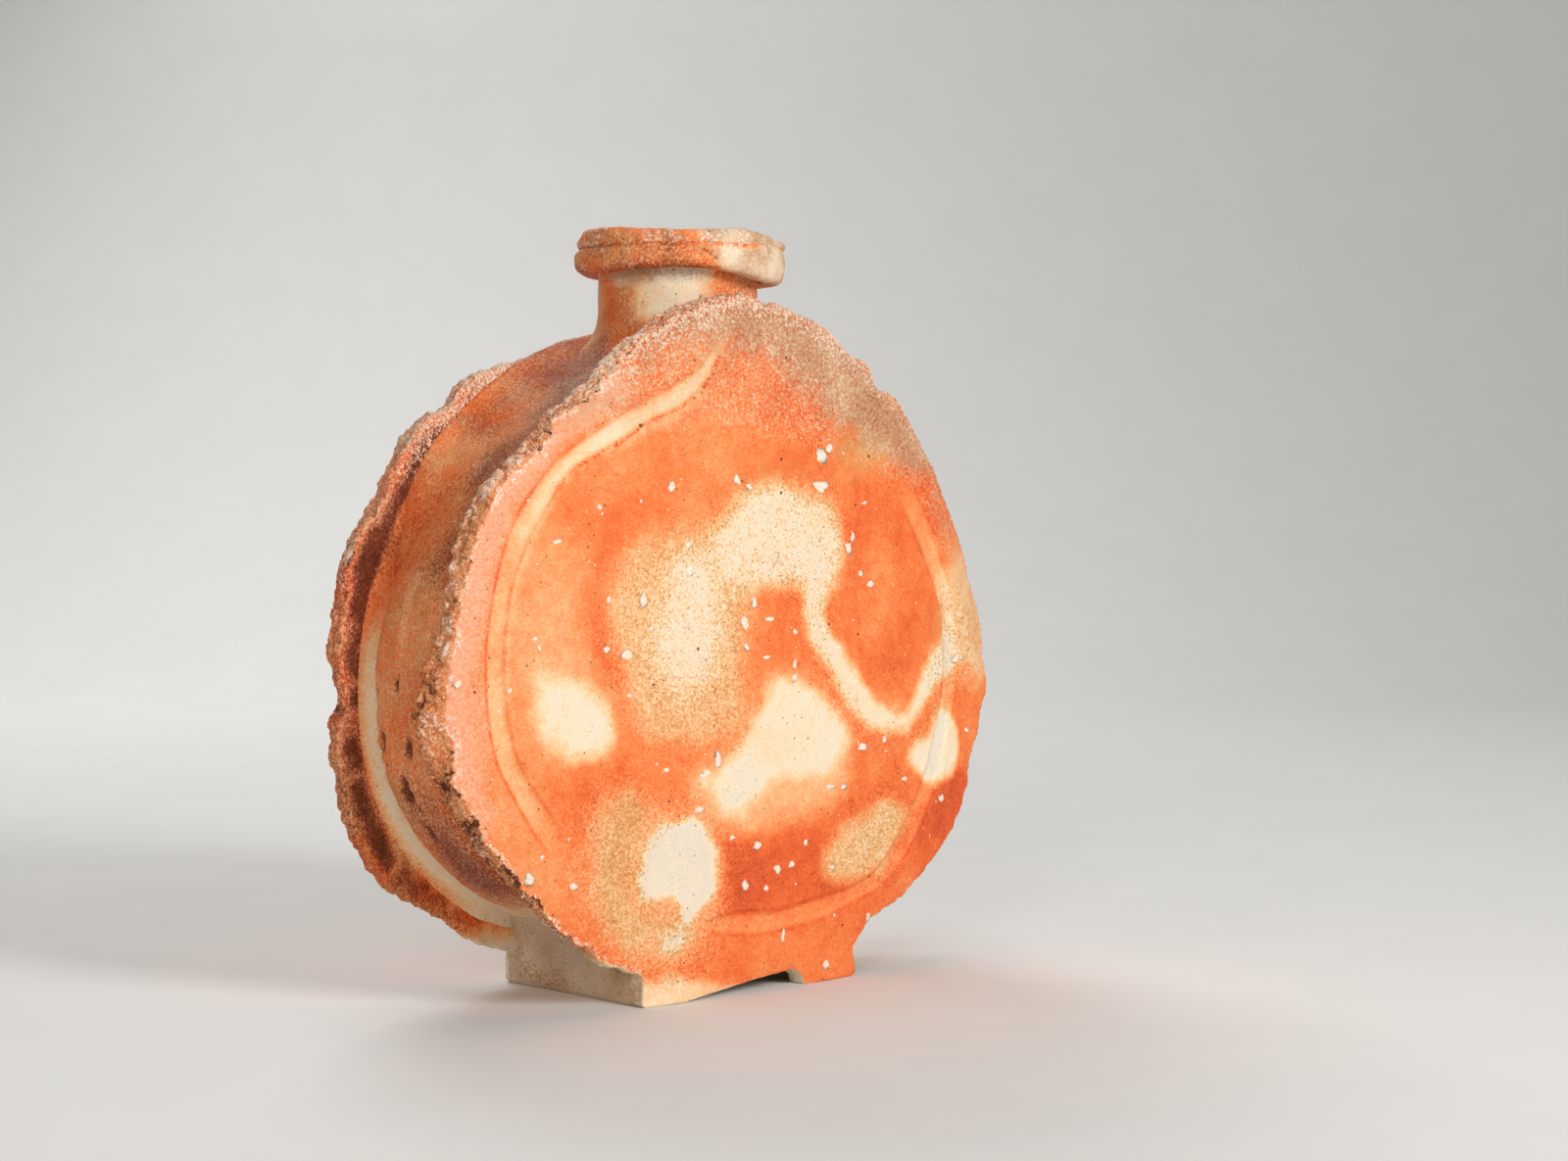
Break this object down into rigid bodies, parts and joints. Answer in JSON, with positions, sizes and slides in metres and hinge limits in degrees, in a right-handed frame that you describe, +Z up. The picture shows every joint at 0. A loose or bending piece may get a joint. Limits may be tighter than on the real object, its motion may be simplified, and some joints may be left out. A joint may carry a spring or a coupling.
{
  "type": "pilgrim flask",
  "caption": "Slab-built stoneware pilgrim flask with two bowed torn-edged faces, a recessed strip wall, a short thrown neck with a wrapped lip and a small arched foot.",
  "frame": {"origin": "on the resting plane, under the middle of the overall box", "axes": "+Z up through the mouth, front face towards -Y, +X to the right seen from the front"},
  "size_m": [0.2823, 0.084, 0.275],
  "materials": {
    "flashed_slab": "matte",
    "flashed_wall": "matte",
    "flashed_neck": "matte",
    "bare_clay": "matte"
  },
  "bodies": {
    "root": {"front_slab": "flashed_slab", "back_slab": "flashed_slab", "left_wall": "flashed_wall", "right_wall": "flashed_wall", "left_belt": "flashed_wall", "right_belt": "flashed_wall", "left_cove": "bare_clay", "right_cove": "bare_clay", "inner_joint_coil": "bare_clay", "neck": "flashed_neck", "lip_band": "flashed_neck", "left_foot": "bare_clay", "right_foot": "bare_clay"}
  },
  "joints": []
}
